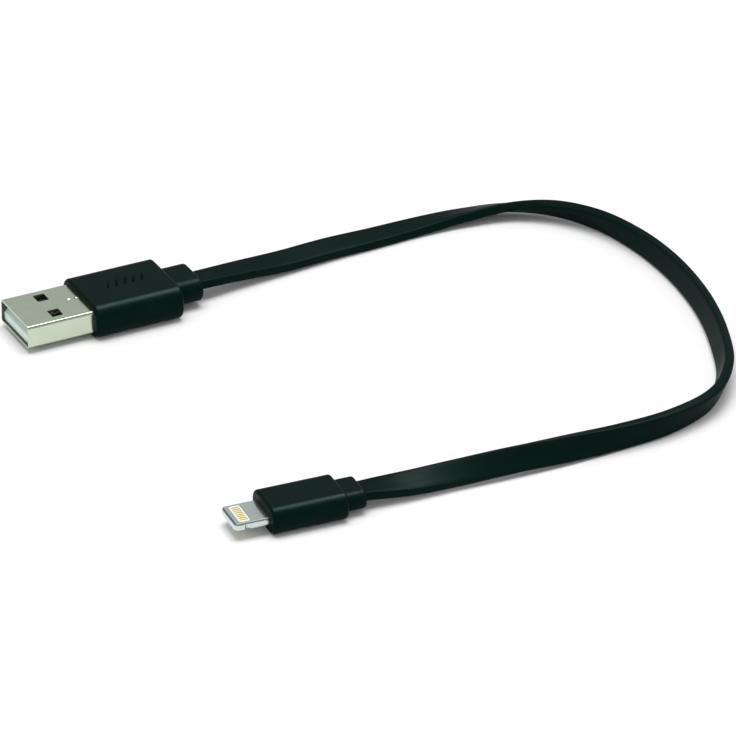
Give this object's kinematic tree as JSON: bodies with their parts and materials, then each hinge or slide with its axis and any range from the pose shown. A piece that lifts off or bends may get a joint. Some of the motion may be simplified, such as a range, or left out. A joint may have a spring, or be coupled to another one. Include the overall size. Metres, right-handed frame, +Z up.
{
  "type": "charging cable",
  "caption": "Short charging cable: a flat ribbon cord in one open loop between a flat host plug with a steel shell and a small reversible phone plug with a metal tab.",
  "frame": {"origin": "on the resting surface, under the middle of the box that holds the two plugs", "axes": "+X runs from the host plug's tip towards its cord, +Y from the phone plug to the host plug, +Z up from the surface; the phone plug points the same way as the host plug, turned by 4.4 degrees"},
  "size_m": [0.1189, 0.0908, 0.0066],
  "materials": {
    "plated_steel": "nickel-plated sheet steel, satin",
    "tab_metal": "machined and plated metal, satin",
    "shield_steel": "tinned sheet, matt",
    "white_plastic": "white moulded plastic",
    "gold_plating": "gold plating, satin",
    "inner_plastic": "grey moulded plastic",
    "black_rubber": "fine satin overmould",
    "black_jacket": "smooth satin jacket",
    "red_insulation": "smooth insulation",
    "white_insulation": "smooth insulation",
    "green_insulation": "smooth insulation",
    "black_insulation": "smooth insulation",
    "board_green": "solder mask over laminate",
    "ceramic": "ceramic chip body",
    "chip_black": "moulded chip package"
  },
  "bodies": {
    "root": {"host_plug_shell": "plated_steel", "host_plug_tongue": "white_plastic", "host_plug_contact_1": "gold_plating", "host_plug_contact_2": "gold_plating", "host_plug_contact_3": "gold_plating", "host_plug_contact_4": "gold_plating", "host_plug_inner_mould": "inner_plastic", "host_plug_overmould": "black_rubber", "host_plug_strain_relief": "black_rubber", "cord_jacket": "black_jacket", "cord_conductor_power": "red_insulation", "cord_conductor_data_minus": "white_insulation", "cord_conductor_data_plus": "green_insulation", "cord_conductor_ground": "black_insulation", "phone_plug_tab_frame": "tab_metal", "phone_plug_contact_carrier": "white_plastic", "phone_plug_pad_top_1": "gold_plating", "phone_plug_pad_top_2": "gold_plating", "phone_plug_pad_top_3": "gold_plating", "phone_plug_pad_top_4": "gold_plating", "phone_plug_pad_top_5": "gold_plating", "phone_plug_pad_top_6": "gold_plating", "phone_plug_pad_top_7": "gold_plating", "phone_plug_pad_top_8": "gold_plating", "phone_plug_shield_top": "shield_steel", "phone_plug_pad_bottom_1": "gold_plating", "phone_plug_pad_bottom_2": "gold_plating", "phone_plug_pad_bottom_3": "gold_plating", "phone_plug_pad_bottom_4": "gold_plating", "phone_plug_pad_bottom_5": "gold_plating", "phone_plug_pad_bottom_6": "gold_plating", "phone_plug_pad_bottom_7": "gold_plating", "phone_plug_pad_bottom_8": "gold_plating", "phone_plug_shield_bottom": "shield_steel", "phone_plug_circuit_board": "board_green", "phone_plug_main_chip": "chip_black", "phone_plug_switch_chip": "chip_black", "phone_plug_capacitor_1": "ceramic", "phone_plug_capacitor_2": "ceramic", "phone_plug_resistor": "chip_black", "phone_plug_inner_mould": "inner_plastic", "phone_plug_overmould": "black_rubber", "phone_plug_strain_relief": "black_rubber"}
  },
  "joints": []
}
